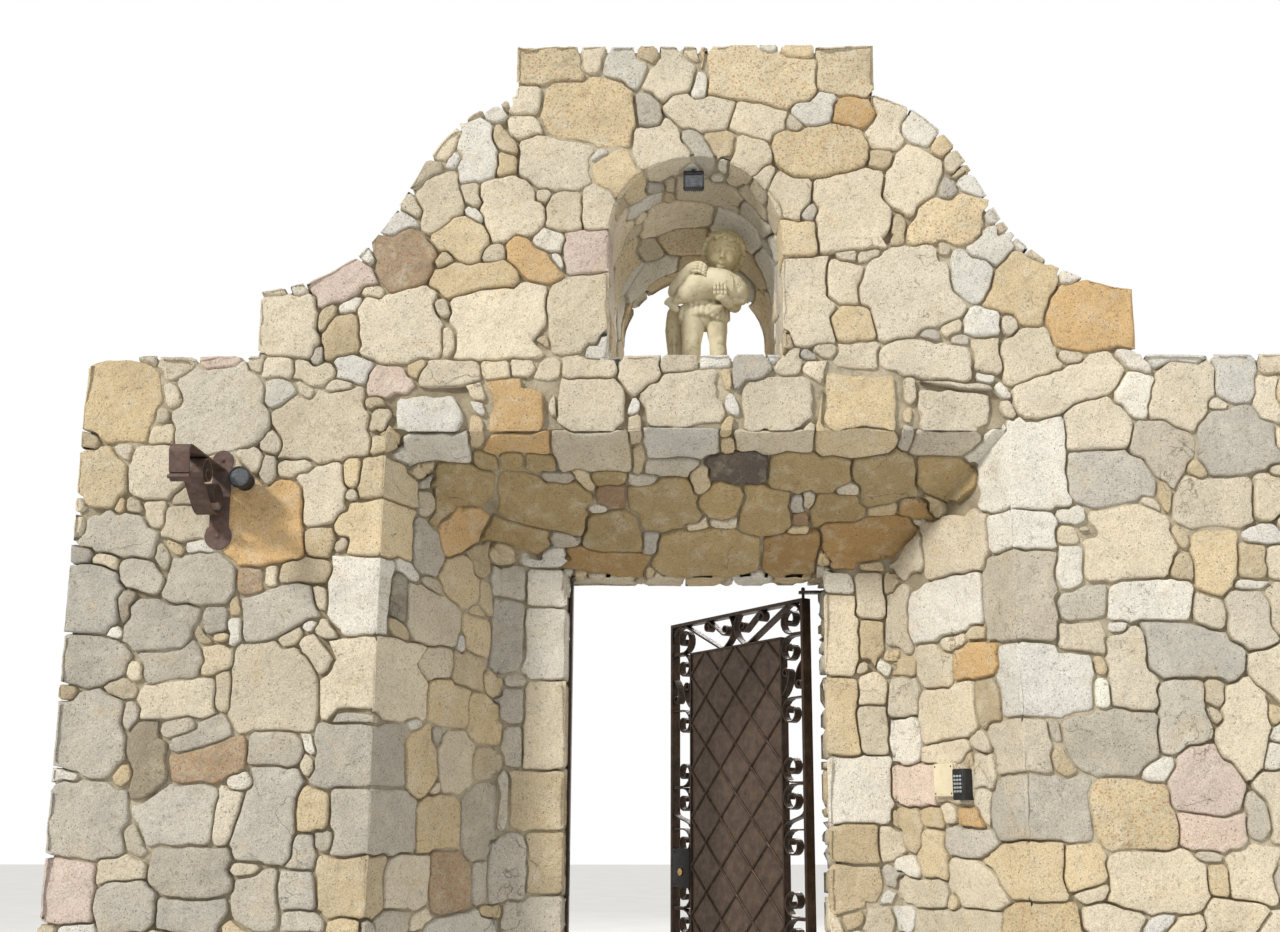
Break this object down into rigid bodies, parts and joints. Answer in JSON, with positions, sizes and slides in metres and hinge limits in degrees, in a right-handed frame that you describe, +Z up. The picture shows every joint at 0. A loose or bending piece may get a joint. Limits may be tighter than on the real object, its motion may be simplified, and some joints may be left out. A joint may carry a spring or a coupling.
{
  "type": "rubble stone gateway with an iron gate",
  "caption": "Rubble stone garden gateway with a splayed portal, a curved gable that holds a statue niche, and a wrought iron gate leaf that swings inward.",
  "frame": {"origin": "on the ground in the middle of the portal's front edge, in the plane of the wall's front face", "axes": "+X to the viewer's right along the wall, +Y into the wall and away from the viewer, +Z up"},
  "size_m": [4.28, 1.728, 4.215],
  "materials": {
    "rubble_stone": "rough",
    "carved_stone": "smooth_weathered",
    "black_plastic": "matte",
    "lamp_glass": "clear",
    "grey_keys": "matte",
    "beige_plastic": "matte",
    "rusty_iron": "rusty",
    "bronze_brown_iron": "satin",
    "brown_sheet": "satin",
    "black_steel": "satin",
    "cylinder_brass": "polished"
  },
  "bodies": {
    "gateway": {"left_wing_wall": "rubble_stone", "right_wing_wall": "rubble_stone", "left_jamb": "rubble_stone", "right_jamb": "rubble_stone", "left_pier": "rubble_stone", "right_pier": "rubble_stone", "portal_lintel": "rubble_stone", "left_coping": "rubble_stone", "right_coping": "rubble_stone", "gable_course": "rubble_stone", "gable_left": "rubble_stone", "gable_right": "rubble_stone", "niche_arch": "rubble_stone", "crown_block": "rubble_stone", "statue_base": "carved_stone", "statue_figure": "carved_stone", "floodlight_body": "black_plastic", "floodlight_glass": "lamp_glass", "keypad_body": "black_plastic", "keypad_keys": "grey_keys", "junction_box": "beige_plastic", "bracket_plate": "rusty_iron", "bracket_arm": "rusty_iron", "bracket_scroll": "rusty_iron", "spotlight_body": "black_plastic", "spotlight_lens": "lamp_glass", "latch_bar": "bronze_brown_iron", "strike_plate": "black_steel", "top_hinge_strap": "bronze_brown_iron", "bottom_hinge_strap": "bronze_brown_iron"},
    "gate_leaf": {"hinge_stile": "bronze_brown_iron", "latch_stile": "bronze_brown_iron", "top_rail": "bronze_brown_iron", "bottom_rail": "bronze_brown_iron", "panel_frame": "bronze_brown_iron", "panel_sheet": "brown_sheet", "lattice": "bronze_brown_iron", "hinge_scrolls": "bronze_brown_iron", "latch_scrolls": "bronze_brown_iron", "top_brace": "bronze_brown_iron", "bottom_brace": "bronze_brown_iron", "lock_box": "black_steel", "lock_cylinder": "cylinder_brass", "top_pivot": "bronze_brown_iron", "bottom_pivot": "bronze_brown_iron"}
  },
  "joints": [
    {"name": "leaf_hinge", "type": "hinge", "parent": "gateway", "child": "gate_leaf", "pos_m": [0.423, 0.673, 0], "axis": [0, 0, -1], "range_deg": [-53.9, 36.1]}
  ]
}
